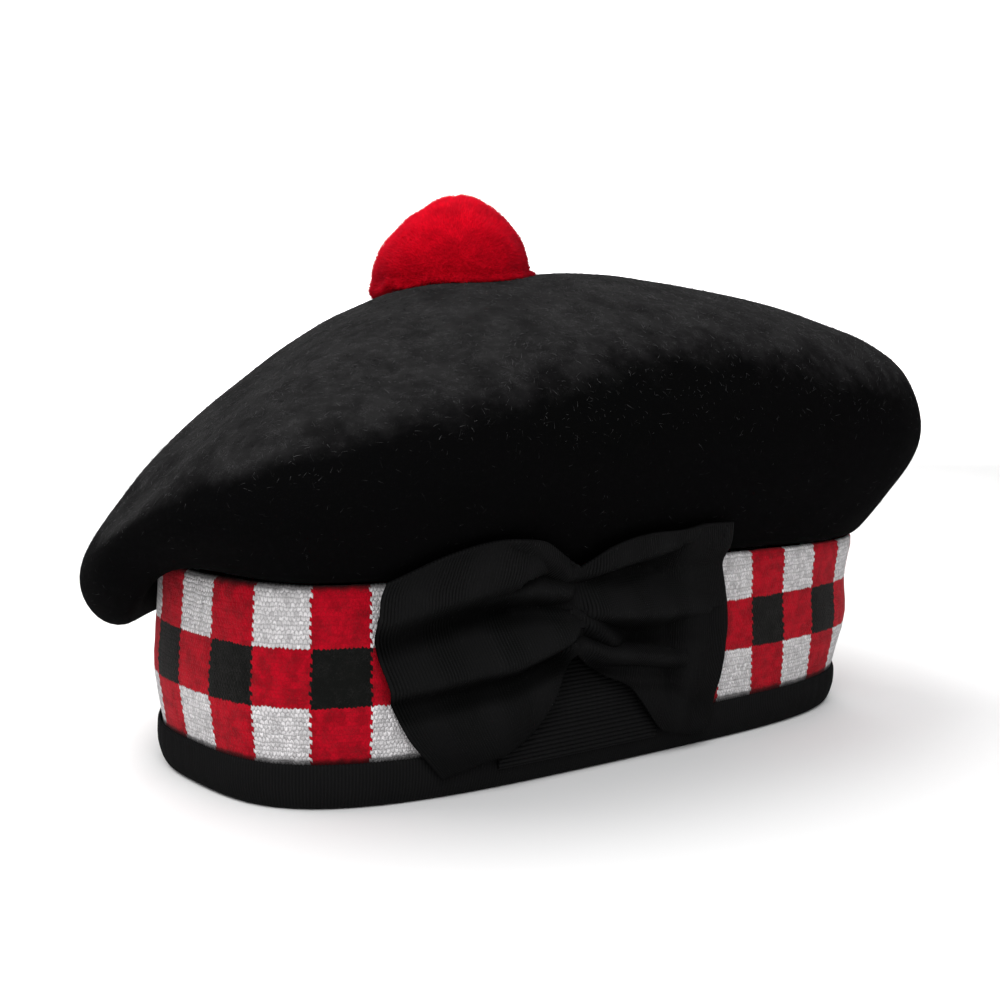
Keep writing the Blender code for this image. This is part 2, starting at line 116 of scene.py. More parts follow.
# Folds of the bow, each a ridge through three places. Places are shares of the
# wing's reach and of the half height from the gather, and the front wing is
# negative. The two widths are shares of the half height above and below the ridge.
BOW_FOLDS = (
    # start, up, middle, up, end, up, height, width above, width below
    (-0.06, 0.20, -0.24, 0.25, -0.50, 0.24, 0.92, 0.09, 0.08),
    (-0.40, 0.33, -0.66, 0.26, -0.97, 0.14, 0.95, 0.22, 0.10),
    (-0.04, -0.08, -0.38, -0.24, -0.93, -0.34, 1.00, 0.17, 0.07),
    (-0.08, 0.33, -0.24, 0.48, -0.42, 0.64, 0.66, 0.08, 0.07),
    (-0.20, -0.50, -0.50, -0.66, -0.80, -0.62, 0.42, 0.20, 0.22),
    (-0.05, 0.43, 0.02, 0.52, 0.10, 0.58, 0.50, 0.07, 0.07),
    (0.00, 0.31, 0.18, 0.38, 0.50, 0.49, 0.88, 0.14, 0.055),
    (0.08, 0.05, 0.44, -0.01, 0.80, -0.05, 0.98, 0.19, 0.09),
    (-0.02, 0.05, 0.08, -0.08, 0.18, -0.20, 0.92, 0.08, 0.05),
    (-0.05, -0.16, 0.15, -0.27, 0.66, -0.42, 0.92, 0.05, 0.07),
    (0.78, 0.42, 0.80, -0.20, 0.78, -0.60, 0.52, 0.24, 0.20),
    (0.34, -0.48, 0.50, -0.70, 0.72, -0.90, 0.36, 0.18, 0.18),
)
# Height and reach of the place where the folds are stitched down at the gather, and the
# share of its height that a fold loses from its start to its end
GATHER_LIFT = 0.45
GATHER_REACH = 0.07
FOLD_FADE = 0.40
# Power that rounds a fold's ridge
FOLD_ROUNDNESS = 1.8

# Cells of a ribbon's sheet along one rib, and its other cells
CELLS_PER_RIB = 4
BOW_ROWS = 80
TAIL_COLUMNS = 60
# Air between a ribbon and what it is laid on, and the flat sizes of the two ribbons
RIBBON_GAP = 0.0005
TAIL_FLAT = (0.054, 0.036)
# How much higher the tail's ribs are than the bow's
TAIL_RIB_SHARE = 1.5
# How far the bow's seat goes on past its wings, and the tops of the two seats
SEAT_MARGIN = 0.004
TAIL_SEAT_TOP = 0.05
BOW_SEAT_TOP = 0.08
# Steps above a place, as shares of the half height, where a fold can hide it from light
HIDDEN_BELOW = (0.07, 0.14, 0.22)
# How much painted shade the bow gets: all over, under a fold, and less on folds and ribs
BOW_PAINTED_SHADE = 0.56
BOW_PAINTED_SHADE_UNDER = 0.85
BOW_PAINTED_SHADE_LESS = 0.26
# The same for the tail, whose painted shade grows towards the bow from a share of its height up
TAIL_PAINTED_SHADE = 0.40
TAIL_PAINTED_SHADE_FROM = 0.40
TAIL_PAINTED_SHADE_UNDER = 2.5
TAIL_PAINTED_SHADE_LESS = 0.38
# Painted shade between the binding's ribs
BINDING_PAINTED_SHADE = 0.2

# Unevenness of felt, knit and binding: noise waves, each with its scale and height
FELT_LUMPS = ((28, 0.0007), (75, 0.00025))
KNIT_LUMPS = ((90, 0.00025), (210, 0.00012))
BINDING_LUMPS = ((35, 0.00012),)
# Cosine to the head line from which an edge runs along it, cuts across such edges of the
# band and the binding, and the level below which the binding has no ribs
RUNS_ALONG = 0.7
BAND_CUTS = 5
BINDING_CUTS = 20
BINDING_FOOT = 0.0005
# Levels where the crown's and the binding's shade begins on the band, and where it is full
CROWN_SHADE = (0.0528, 0.0548)
BINDING_SHADE = (0.0134, 0.0118)

# Direction from which painted light falls on the felt's upper side, the cosines to it between
# which that painted light sets in, how much further down it is painted behind, and where along the crown
# that begins and is full
PAINTED_LIGHT_FROM = (-0.10, 0.14, 0.985)
PAINTED_LIGHT_SETS_IN = (0.40, 0.92)
PAINTED_LIGHT_BEHIND = 0.25
PAINTED_LIGHT_BEHIND_FROM = (0.0, 0.07)
# Weight of the loose fibres on the crown's sides; its level top has 1 more
NAP_ON_SIDES = 0.12
# How deep a fibre's root stands in the felt
NAP_ROOT = 0.0001
NAP_SEED = 7

# How far the toorie's head is drawn in under its strands, and let out on its underside
HEAD_DRAWN_IN = 0.0012
HEAD_LET_OUT = 0.0007
# Levels of the normal below which the head is let out, and below which no strand grows
HEAD_UNDERSIDE = -0.3
HEAD_BARE = -0.75
# Shade of the head and of its darkest strands, and how far strands stand out of the head
HEAD_SHADE = 0.25
STRAND_STANDS_OUT = 0.0014
# Levels above the toorie's foot between which painted shade deepens its colour
TOORIE_PAINTED_SHADE = (0.026, 0.006)
TOORIE_SEED = 11
# Direction that sets how strands are turned round their length
STRAND_SIDE = (0.31, 0.17, 0.93)

# The stage and the camera, placed from the head line's middle
FLOOR_HALF_WIDTH = 4.0
BACKDROP_AWAY = 2.0
BACKDROP_RADIUS = 1.0
BACKDROP_HEIGHT = 3.0
BACKDROP_STEPS = 24
STAGE_TURN = 51.0
WORLD_STRENGTH = 0.33
LAMPS = (
    # name, width, power, place, point it faces, colour
    ("top_softbox", 1.2, 14, (-0.30, 0.45, 1.05), (0, 0, 0.07), (1.0, 0.99, 0.98)),
    ("front_softbox", 1.0, 14, (-0.62, -0.80, 0.95), (0, 0, 0.07), (0.99, 0.99, 1.0)),
    ("backdrop_softbox", 2.0, 120, (0.9, 1.1, 1.7), (2.1, 2.6, 1.1), (1, 1, 1)),
)
CAMERA_PLACE = (-0.2861, -0.3465, 0.1162)
CAMERA_TURNS = (-39.03, 83.52, 0.96)
CAMERA_LENS = 54.936
CAMERA_SENSOR = 36.0
CAMERA_NEAR = 0.01


def length_property(name, description, default):
    """Length that a user may change."""
    return FloatProperty(
        name=name, description=description, default=default, unit="LENGTH", subtype="DISTANCE")


def count_property(name, description, default, least):
    """Number of things that a user may change."""
    return IntProperty(name=name, description=description, default=default, min=least)


def colour_property(name, description, default):
    """Colour that a user may change."""
    return FloatVectorProperty(
        name=name, description=description, default=default, size=3, min=0, max=1, subtype="COLOR")


class BonnetSizes(bpy.types.PropertyGroup):
    """Sizes of the bonnet's cloth, wool and ribbon."""

    dice_round: count_property("Dice round", "Dice round the band, an even number", 40, 4)
    dice_offset: FloatProperty(
        name="Dice offset", description="Share of the head line where a white and red column starts",
        default=-0.1481)
    dice_low: length_property("Low row", "Top of the lowest row of dice", 0.0252)
    dice_high: length_property("High row", "Top of the middle row of dice", 0.0398)
    stitches: count_property("Stitches", "Stitches across one die", 14, 4)
    stitch_height: length_property("Stitch height", "Height of one row of knitting", 0.00110)
    rib_pitch: length_property("Rib pitch", "Distance between the ribbon's ribs", 0.00082)
    rib_height: length_property("Rib height", "Half the depth between the ribbon's ribs", 0.00011)
    bow_middle: length_property(
        "Bow middle", "Place of the gather along the head line, from the middle of its side", -0.027)
    bow_level: length_property("Bow level", "Height of the gather", 0.042)
    bow_front_reach: length_property("Front wing", "Reach of the bow's front wing", 0.057)
    bow_back_reach: length_property("Back wing", "Reach of the bow's back wing", 0.0585)
    bow_half_height: length_property("Half height", "Length that the bow's heights are shares of", 0.036)
    fold_height: length_property("Fold height", "How far the highest fold stands off", 0.0068)
    ribbon_wall: length_property("Ribbon wall", "Thickness of the folded ribbon", 0.0008)
    tail_pitch: length_property("Tail pitch", "Distance between the ribs of the tail", 0.0011)
    nap_fibres: count_property("Nap fibres", "Fibres raised from the felt", 19500, 0)
    nap_length: length_property("Nap length", "Longest fibre of the nap", 0.0021)
    nap_width: length_property("Nap width", "Width of a fibre at its root", 0.00016)
    toorie_strands: count_property("Toorie strands", "Clipped strands of the toorie", 46000, 0)
    toorie_strand_width: length_property("Strand width", "Width of one clipped strand", 0.00050)
    toorie_strand_length: length_property("Strand length", "Length of a strand", 0.0028)


class BonnetColours(bpy.types.PropertyGroup):
    """Colours of the bonnet and its stage."""

    felt: colour_property("Felt", "Milled wool of the crown", (0.0019, 0.0019, 0.0020))
    # Painted light: the felt's colour where light falls on the crown's upper side
    felt_painted_light: colour_property(
        "Felt top", "The crown's upper side, where its nap is raised", (0.0172, 0.0170, 0.0173))
    nap: colour_property("Nap", "Loose fibres on the crown", (0.112, 0.110, 0.113))
    red: colour_property("Red dice", "Red wool of the band", (0.41, 0.001, 0.011))
    white: colour_property("White dice", "White wool of the band", (0.80, 0.78, 0.79))
    black: colour_property("Black dice", "Black wool of the band", (0.0035, 0.0040, 0.0035))
    black_fibres: colour_property("Black fibres", "Loose fibres of the black dice", (0.020, 0.020, 0.019))
    ribbon: colour_property("Ribbon", "Ribbed ribbon", (0.0078, 0.0078, 0.0080))
    toorie: colour_property("Toorie", "Clipped wool on top", (0.82, 0.001, 0.016))
    floor: colour_property("Floor", "Floor and backdrop", (0.86, 0.86, 0.86))


class HeadLine:
    """The closed line round the head, read by its share of length from the bow side's middle."""

    SAMPLES = 5760
    REACH = 0.004

    def __init__(self):
        turns = ((step / self.SAMPLES - 0.25) * math.tau for step in range(self.SAMPLES + 1))
        fine = [self.corner(turn) for turn in turns]
        steps = np.array([(b - a).length for a, b in zip(fine, fine[1:])])
        lengths = np.concatenate(([0.0], np.cumsum(steps)))
        self.length = float(lengths[-1])
        wanted = np.arange(self.SAMPLES) / self.SAMPLES * self.length
        places = [np.interp(wanted, lengths, [point[axis] for point in fine]) for axis in (0, 1)]
        self.table = [Vector((x, y, 0)) for x, y in zip(*places)]
        self.tree = KDTree(self.SAMPLES)
        for index, point in enumerate(self.table):
            self.tree.insert(point, index)
        self.tree.balance()

    @staticmethod
    def corner(turn):
        """Point of the line at a turn round its middle, a superellipse on each side."""
        along, across = math.cos(turn), math.sin(turn)
        half, square = HEAD_HALF_FAR_SIDE, FAR_SIDE_SQUARENESS
        if across < 0:
            half, square = HEAD_HALF_BOW_SIDE, BOW_SIDE_SQUARENESS
        x = math.copysign(HEAD_HALF_LENGTH * abs(along) ** (2 / square), along)
        y = math.copysign(half * abs(across) ** (2 / square), across)
        return HEAD_CENTRE + Vector((x, y, 0))

    def point(self, share):
        """Point of the line, read between its close samples."""
        where = (share % 1.0) * self.SAMPLES
        index = int(where)
        return self.table[index % self.SAMPLES].lerp(self.table[(index + 1) % self.SAMPLES], where - index)

    def along(self, share):
        """Level direction of the line, from REACH before to REACH after."""
        reach = self.REACH / self.length
        return (self.point(share + reach) - self.point(share - reach)).normalized()

    def outward(self, share):
        """Level direction pointing away from the head."""
        way = self.along(share)
        return Vector((way.y, -way.x, 0))

    def place(self, share, out, height):
        """Point at a share of the line, moved outwards and up."""
        return self.point(share) + self.outward(share) * out + Vector((0, 0, height))

    def share_at(self, point):
        """Share of the line's point that lies nearest."""
        flat = Vector((point[0], point[1], 0))
        near, index, _ = self.tree.find(flat)
        share = index / self.SAMPLES
        return share + (flat - near).dot(self.along(share)) / self.length


LINE = HeadLine()


# Meshes

def mesh_of(name, bm):
    """Mesh from a bmesh, which is freed."""
    mesh = bpy.data.meshes.new(name)
    bm.to_mesh(mesh)
    bm.free()
    return mesh


def add_object(name, data):
    """Object in the scene from its data."""
    made = bpy.data.objects.new(name, data)
    bpy.context.scene.collection.objects.link(made)
    return made


def rounded(node, levels):
    """Copy of a frame node's mesh, its triangles paired and its facets rounded off, as a bmesh."""
    bm = bmesh.new()
    bm.from_mesh(frame["nodes"][node].data)
    bmesh.ops.remove_doubles(bm, verts=bm.verts, dist=MERGE_DISTANCE)
    bmesh.ops.join_triangles(
        bm, faces=bm.faces, angle_face_threshold=math.radians(60), angle_shape_threshold=math.radians(70))
    mesh = mesh_of("rounding", bm)
    holder = add_object("rounding", mesh)
    subdivide = holder.modifiers.new("round", "SUBSURF")
    subdivide.levels = levels
    finished = bmesh.new()
    finished.from_object(holder, bpy.context.evaluated_depsgraph_get())
    bpy.data.objects.remove(holder)
    bpy.data.meshes.remove(mesh)
    return finished


def lumps(point, waves):
    """Unevenness at a point, the sum of its waves."""
    return sum(noise.noise(point * scale) * height for scale, height in waves)


def edges_along(bm):
    """Edges that run more along the head line than across it."""
    def runs_along(edge):
        a, b = (vert.co for vert in edge.verts)
        return abs((b - a).normalized().dot(LINE.along(LINE.share_at((a + b) / 2)))) > RUNS_ALONG

    return [edge for edge in bm.edges if runs_along(edge)]


def write_pattern(bm):
    """UV map in metres: the length along the head line and the height."""
    layer = bm.loops.layers.uv.new("pattern")
    places = {vert: ((LINE.share_at(vert.co) % 1.0) * LINE.length, vert.co.z) for vert in bm.verts}
    for face in bm.faces:
        first = places[face.loops[0].vert][0]
        for loop in face.loops:
            around, height = places[loop.vert]
            turns = round((around - first) / LINE.length)
            loop[layer].uv = (around - turns * LINE.length, height)


def add_piece(name, form, material, node=None):
    """Finished piece from a mesh or bmesh, riding on the bonnet's body and standing for its node."""
    mesh = mesh_of(name, form) if isinstance(form, bmesh.types.BMesh) else form
    mesh.materials.append(material)
    mesh.shade_smooth()
    piece = add_object(name, mesh)
    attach(piece, BODY)
    if node:
        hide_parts(node)
    return piece


class Seat:
    """Outer surface of finished pieces as a smooth map that ribbon is laid on."""

    LOOK_FROM = 0.060
    CELL = 0.0012
    SPREAD_STEPS = 2
    SMOOTH_STEPS = 3
    WHERE_NOTHING_IS = -0.002

    def __init__(self, pieces, shares, top):
        bpy.context.view_layer.update()
        graph = bpy.context.evaluated_depsgraph_get()
        trees = [BVHTree.FromObject(piece, graph) for piece in pieces]
        self.first, last = shares
        self.columns = round((last - self.first) * LINE.length / self.CELL)
        self.rows = round(top / self.CELL)
        self.step = (last - self.first) / self.columns
        grid = np.full((self.columns + 1, self.rows + 1), self.WHERE_NOTHING_IS)
        for column in range(self.columns + 1):
            share = self.first + column * self.step
            outward = LINE.outward(share)
            start = LINE.place(share, self.LOOK_FROM, 0)
            for row in range(self.rows + 1):
                start.z = row * self.CELL
                for tree in trees:
                    spot, _, _, away = tree.ray_cast(start, -outward, self.LOOK_FROM)
                    if spot is not None:
                        grid[column, row] = max(grid[column, row], self.LOOK_FROM - away)
        for _ in range(self.SPREAD_STEPS):
            grid = self.neighbours(grid).max(axis=0)
        for _ in range(self.SMOOTH_STEPS):
            grid = self.neighbours(grid).mean(axis=0)
        self.grid = grid

    @staticmethod
    def neighbours(grid):
        """The map and its eight neighbours, stacked."""
        wide = np.pad(grid, 1, mode="edge")
        across, up = grid.shape
        return np.stack([wide[i:i + across, j:j + up] for i in range(3) for j in range(3)])

    def out(self, share, height):
        """How far the pieces stand off the head line, read between the map's cells."""
        x = min(max((share - self.first) / self.step, 0), self.columns - 0.001)
        y = min(max(height / self.CELL, 0), self.rows - 0.001)
        i, j = int(x), int(y)
        s, t = x - i, y - j
        low = self.grid[i, j] * (1 - s) + self.grid[i + 1, j] * s
        high = self.grid[i, j + 1] * (1 - s) + self.grid[i + 1, j + 1] * s
        return low * (1 - t) + high * t


def read_table(rows, where):
    """Row of a table at a place between its rows, on a smooth curve between them."""
    where = min(max(where, rows[0][0]), rows[-1][0])
    index = max(i for i in range(len(rows) - 1) if rows[i][0] <= where)
    start, end = rows[index], rows[index + 1]
    before, after = rows[max(index - 1, 0)], rows[min(index + 2, len(rows) - 1)]
    span = end[0] - start[0]
    t = (where - start[0]) / span
    values = []
    for a, b, c, d in zip(before[1:], start[1:], end[1:], after[1:]):
        leave = (c - a) / (end[0] - before[0]) * span
        arrive = (d - b) / (after[0] - start[0]) * span
        values.append(
            (2 * t**3 - 3 * t**2 + 1) * b + (t**3 - 2 * t**2 + t) * leave
            + (3 * t**2 - 2 * t**3) * c + (t**3 - t**2) * arrive)
    return values


def ribbon_sheet(cells_long, cells_high, cell):
    """Sheet of ribbon from a grid whose corners cell(along, up) moves.

    It gives a corner's place, its UV in metres and its painted shade, which says how far
    the corner is hidden from light between ribs and folds, from 0 to 1.
    """
    bm = bmesh.new()
    hidden = bm.verts.layers.float.new("painted_shade")
    layer = bm.loops.layers.uv.new("pattern")
    bmesh.ops.create_grid(bm, x_segments=cells_long, y_segments=cells_high, size=0.5)
    for vert in bm.verts:
        vert.co, spot, painted_shade = cell(vert.co.x + 0.5, vert.co.y + 0.5)
        vert[hidden] = min(max(painted_shade, 0), 1)
        for loop in vert.link_loops:
            loop[layer].uv = spot
    bm.normal_update()
    outer = sum(face.normal.dot(LINE.outward(LINE.share_at(face.calc_center_median()))) for face in bm.faces)
    if outer < 0:
        bmesh.ops.reverse_faces(bm, faces=bm.faces)
    return bm


def wave(length, pitch):
    """Ribs of a ribbon, from -1 between them to 1 on them."""
    return math.cos(math.tau * length / pitch)


def thicken(sheet, sizes):
    """Give a ribbon's sheet its wall, which grows outwards."""
    wall = sheet.modifiers.new("wall", "SOLIDIFY")
    wall.thickness = sizes.ribbon_wall
    wall.offset = 1
    wall.use_even_offset = False


# Strands

def strand_template(rings):
    """Corners and faces of a pointed three-sided strand of unit height and half width."""
    bm = bmesh.new()
    bmesh.ops.create_cone(
        bm, cap_ends=True, segments=3, radius1=1, radius2=0, depth=1, matrix=Matrix.Translation((0, 0, 0.5)))
    for ring in range(1, rings):
        bmesh.ops.bisect_plane(
            bm, geom=bm.verts[:] + bm.edges[:] + bm.faces[:], plane_co=(0, 0, ring / rings),
            plane_no=(0, 0, 1))
    bmesh.ops.remove_doubles(bm, verts=bm.verts, dist=MERGE_DISTANCE)
    bmesh.ops.triangulate(bm, faces=bm.faces)
    corners = np.array([v.co for v in bm.verts])
    faces = np.array([[v.index for v in f.verts] for f in bm.faces])
    bm.free()
    return corners, faces


def unit(rows):
    """Rows scaled to length one."""
    return rows / np.linalg.norm(rows, axis=1)[:, None]


def write_shades(mesh, shades):
    """Give each corner of a mesh its shade, from 0 to 1."""
    layer = mesh.attributes.new("shade", "FLOAT", "POINT")
    layer.data.foreach_set("value", shades.astype(np.float32))


def strands(name, template, roots, ways, bends, lengths, widths, shades):
    """Mesh of many strands: each leaves its root along its way and curves by its bend."""
    corners, faces = template
    side = unit(np.cross(ways, np.array(STRAND_SIDE)))
    other = np.cross(ways, side)
    up = corners[:, 2]
    points = (
        roots[:, None, :]
        + ways[:, None, :] * (lengths[:, None] * up)[:, :, None]
        + bends[:, None, :] * (lengths[:, None] * up**2)[:, :, None]
        + side[:, None, :] * (widths[:, None] * corners[:, 0])[:, :, None]
        + other[:, None, :] * (widths[:, None] * corners[:, 1])[:, :, None]
    )
    count, per = len(roots), len(corners)
    indices = (faces[None, :, :] + (np.arange(count) * per)[:, None, None]).reshape(-1, 3)
    mesh = bpy.data.meshes.new(name)
    mesh.from_pydata(points.reshape(-1, 3), [], indices)
    write_shades(mesh, np.repeat(shades, per))
    return mesh


def rows_of(items, name, kind=float):
    """Rows of three numbers read from a mesh's items."""
    rows = np.empty(len(items) * 3, dtype=kind)
    items.foreach_get(name, rows)
    return rows.reshape(-1, 3)


def surface_samples(piece, count, draw, keep):
    """Points on a piece without modifiers, spread by area times keep(centres, normals), and normals."""
    mesh = piece.data
    mesh.calc_loop_triangles()
    places, normals = rows_of(mesh.vertices, "co"), rows_of(mesh.vertices, "normal")
    triangles = rows_of(mesh.loop_triangles, "vertices", np.int32)
    a, b, c = (places[triangles[:, i]] for i in range(3))
    cross = np.cross(b - a, c - a)
    area = np.linalg.norm(cross, axis=1)
    cross /= np.maximum(area, 1e-12)[:, None]
    area = area * keep((a + b + c) / 3, cross)
    chosen = draw.choice(len(area), size=count, p=area / area.sum())
    u, v = draw.random(count), draw.random(count)
    over = u + v > 1
    u[over], v[over] = 1 - u[over], 1 - v[over]
    corners = triangles[chosen]
    weights = np.stack([1 - u - v, u, v], axis=1)[:, :, None]
    return (places[corners] * weights).sum(axis=1), unit((normals[corners] * weights).sum(axis=1))


# Materials

class Tree:
    """The node tree of a group or material, with short ways to add nodes and join them."""

    def __init__(self, tree, material=None):
        self.tree = tree
        self.material = material

    def add(self, kind, inputs=None, **fields):
        """New node; an input is given a value, or the socket that feeds it."""
        node = self.tree.nodes.new(kind)
        for name, value in fields.items():
            setattr(node, name, value)
        for key, value in (inputs or {}).items():
            if isinstance(value, bpy.types.NodeSocket):
                self.tree.links.new(value, node.inputs[key])
            else:
                node.inputs[key].default_value = value
        return node

    def math(self, operation, a, b=0.0, c=0.0):
        """Result of a sum on one, two or three values."""
        return self.add("ShaderNodeMath", {0: a, 1: b, 2: c}, operation=operation).outputs[0]

    def times(self, a, b):
        """Product of two values."""
        return self.math("MULTIPLY", a, b)

    def vector(self, operation, a, b):
        """Results of a sum on two vectors."""
        return self.add("ShaderNodeVectorMath", {0: a, 1: b}, operation=operation).outputs

    def part(self, vector, axis):
        """One of a vector's three numbers."""
        return self.add("ShaderNodeSeparateXYZ", {0: vector}).outputs[axis]

    def mix(self, factor, a, b):
        """Colour between two colours."""
        return self.add("ShaderNodeMix", {0: factor, 6: a, 7: b}, data_type="RGBA").outputs[2]

    def noise(self, vector, scale, detail=2.0, roughness=0.5, distortion=0.0):
        """Noise value from 0 to 1."""
        node = self.add("ShaderNodeTexNoise", {
            "Vector": vector, "Scale": scale, "Detail": detail, "Roughness": roughness,
            "Distortion": distortion})
        return node.outputs["Fac"]

    def ramp(self, value, low, high):
        """Value stretched so that low becomes 0 and high 1, softly."""
        node = self.add("ShaderNodeMapRange", {
            "Value": value, "From Min": low, "From Max": high}, interpolation_type="SMOOTHSTEP")
        return node.outputs[0]

    def place(self):
        """Place on the object, in metres."""
        return self.add("ShaderNodeTexCoord").outputs["Object"]

    def pattern(self):
        """Place on the UV map, in metres."""
        return self.add("ShaderNodeUVMap", uv_map="pattern").outputs[0]

    def attribute(self, name):
        """Number that the mesh carries at its corners."""
        return self.add("ShaderNodeAttribute", attribute_name=name).outputs["Fac"]

    def use(self, made, *inputs):
        """Outputs of a group node with its inputs set in their order."""
        return self.add("ShaderNodeGroup", dict(enumerate(inputs)), node_tree=made).outputs

    def finish(self, base, height=None, strength=0.0, distance=0.0):
        """The material, its shader led by the base colour, and by a bump where it has a height."""
        shader = self.tree.nodes["Principled BSDF"]
        self.tree.links.new(base, shader.inputs["Base Color"])
        if height is not None:
            bump = self.add("ShaderNodeBump", {"Height": height, "Strength": strength, "Distance": distance})
            self.tree.links.new(bump.outputs[0], shader.inputs["Normal"])
        return self.material


def group(name, inputs, outputs, build):
    """Shader node group made once; build(tree, inputs) returns the outputs' sockets.

    An input is a number with its default, or a vector where that is None.
    """
    if name in bpy.data.node_groups:
        return bpy.data.node_groups[name]
    made = bpy.data.node_groups.new(name, "ShaderNodeTree")
    for label, value in inputs.items():
        kind = "NodeSocketVector" if value is None else "NodeSocketFloat"
        socket = made.interface.new_socket(label, in_out="INPUT", socket_type=kind)
        if value is not None:
            socket.default_value = value
    for label in outputs:
        made.interface.new_socket(label, in_out="OUTPUT", socket_type="NodeSocketFloat")
    tree = Tree(made)
    results = build(tree, tree.add("NodeGroupInput").outputs)
    tree.add("NodeGroupOutput", dict(zip(outputs, results)))
    return made


def wool_group():
    """Loose fibres and soft clouds of wool, in metres of the surface."""
    def build(tree, given):
        place, scale = given["Place"], given["Fibre Scale"]
        curls = tree.noise(place, scale, detail=2.5, roughness=0.6, distortion=2.2)
        line = tree.math("ABSOLUTE", tree.math("SUBTRACT", curls, 0.5))
        fibres = tree.math("SUBTRACT", 1.0, tree.ramp(line, 0.0, 0.045))
        patchy = tree.ramp(tree.noise(place, tree.times(scale, 0.31)), 0.42, 0.66)
        fibres = tree.times(fibres, patchy)
        clouds = tree.noise(place, given["Cloud Scale"], detail=4.0, roughness=0.62)
        grain = tree.noise(place, tree.times(scale, 2.6))
        height = tree.math("ADD", tree.times(fibres, 0.5), tree.times(grain, 0.8))
        return fibres, clouds, height

    return group(
        "wool fibres", {"Place": None, "Fibre Scale": 900.0, "Cloud Scale": 120.0},
        ("Fibres", "Clouds", "Height"), build)


def new_material(name, roughness, specular, sheen=0.0, sheen_roughness=0.5, sheen_tint=(1, 1, 1)):
    """Tree of a new material with its shader's plain values set."""
    material = bpy.data.materials.new(name)
    material.use_nodes = True
    shader = material.node_tree.nodes["Principled BSDF"]
    for key, value in (
            ("Roughness", roughness), ("Specular IOR Level", specular), ("Sheen Weight", sheen),
            ("Sheen Roughness", sheen_roughness), ("Sheen Tint", (*sheen_tint, 1))):
        shader.inputs[key].default_value = value
    return Tree(material.node_tree, material)


def opaque(colour, share=1.0):
    """Colour times a share, with full alpha."""
    return (*(channel * share for channel in colour), 1)


def felt_material(colours):
    """Milled wool: near black, and paler by painted light on its upper side."""
    tree = new_material("milled felt", 0.95, 0.007)
    place = tree.place()
    wool = tree.use(wool_group(), place, 1250.0, 105.0)
    # Painted light: the felt turns paler where it faces the light from above, and further down at the back
    normal = tree.add("ShaderNodeNewGeometry").outputs["Normal"]
    facing_painted_light = tree.vector("DOT_PRODUCT", normal, PAINTED_LIGHT_FROM)["Value"]
    ragged = tree.math("ADD", facing_painted_light, tree.math("MULTIPLY_ADD", wool["Clouds"], 0.5, -0.25))
    behind = tree.ramp(tree.part(place, "X"), *PAINTED_LIGHT_BEHIND_FROM)
    ragged = tree.math("MULTIPLY_ADD", behind, PAINTED_LIGHT_BEHIND, ragged)
    upper = tree.ramp(ragged, *PAINTED_LIGHT_SETS_IN)
    clouds = tree.ramp(wool["Clouds"], 0.30, 0.70)
    upper = tree.times(upper, tree.math("MULTIPLY_ADD", clouds, 0.45, 0.55))
    base = tree.mix(upper, opaque(colours.felt), opaque(colours.felt_painted_light))
    # Pale loose fibres show mostly where the painted light is
    loose = tree.times(wool["Fibres"], tree.math("MULTIPLY_ADD", upper, 0.42, 0.012))
    base = tree.mix(loose, base, opaque(colours.nap))
    return tree.finish(base, wool["Height"], 0.55, 0.0005)


def nap_material(colours):
    """Loose fibres of the felt, each with its own shade."""
    tree = new_material("raised nap", 0.85, 0.1)
    return tree.finish(tree.mix(tree.attribute("shade"), opaque(colours.felt), opaque(colours.nap)))


def dice_group(sizes):
    """Dice and stitches of the band, from its UV map in metres."""
    die = LINE.length / sizes.dice_round
    start = sizes.dice_offset * LINE.length

    def build(tree, given):
        along = tree.math("SUBTRACT", tree.part(given["Pattern"], "X"), start)
        columns = tree.math("DIVIDE", along, die / sizes.stitches)
        rows = tree.math("DIVIDE", tree.part(given["Pattern"], "Y"), sizes.stitch_height)
        # Each stitch is a V, so a row dips in the middle of its columns.
        arm = tree.math("ABSOLUTE", tree.math("SUBTRACT", tree.math("FRACT", columns), 0.5))
        slanted = tree.math("SUBTRACT", rows, tree.times(arm, 0.7))
        row = tree.math("FLOOR", slanted)
        odd = tree.math("FLOORED_MODULO", row, 2.0)
        half = tree.times(odd, 0.5)
        shifted = tree.math("ADD", columns, half)
        shifted_column = tree.math("FLOOR", shifted)
        column = tree.math("SUBTRACT", shifted_column, half)
        die_column = tree.math("FLOOR", tree.math("DIVIDE", tree.math("ADD", column, 0.25), sizes.stitches))
        red_first = tree.math("FLOORED_MODULO", die_column, 2.0)
        height = tree.times(row, sizes.stitch_height)
        above_low, above_high = (
            tree.math("GREATER_THAN", height, level - sizes.stitch_height / 2)
            for level in (sizes.dice_low, sizes.dice_high))
        middle = tree.math("SUBTRACT", above_low, above_high)
        # One column is white, red, white from the top and the next red, black, red.
        red = tree.math("ABSOLUTE", tree.math("SUBTRACT", red_first, middle))
        black = tree.times(middle, red_first)
        legs, loop = (
            tree.math("SINE", tree.times(tree.math("FRACT", value), math.pi))
            for value in (shifted, slanted))
        relief = tree.math("POWER", tree.times(legs, loop), 0.6)
        cell = tree.add("ShaderNodeCombineXYZ", {0: shifted_column, 1: row}).outputs[0]
        chance = tree.add("ShaderNodeTexWhiteNoise", {"Vector": cell}, noise_dimensions="3D")
        return red, black, relief, chance.outputs["Value"]

    return group("dice and stitches", {"Pattern": None}, ("Red", "Black", "Relief", "Chance"), build)


